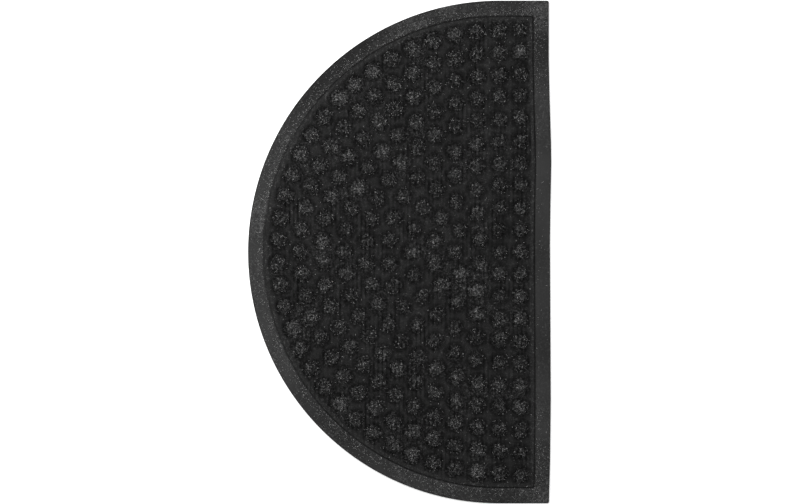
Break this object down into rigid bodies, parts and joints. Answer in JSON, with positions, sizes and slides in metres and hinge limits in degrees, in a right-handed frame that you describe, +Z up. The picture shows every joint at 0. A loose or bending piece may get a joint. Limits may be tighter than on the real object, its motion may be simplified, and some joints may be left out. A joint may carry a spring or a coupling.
{
  "type": "doormat",
  "caption": "Half-round flat doormat of charcoal fibre felt with raised round nubs and a flat pressed border.",
  "frame": {"origin": "middle of the mat's box, on the floor under its flat underside", "axes": "+Z up out of the tread, +Y along the straight side, and the straight side faces +X"},
  "size_m": [0.4598, 0.762, 0.0092],
  "materials": {
    "felt": "matte"
  },
  "bodies": {
    "root": {"mat": "felt"}
  },
  "joints": []
}
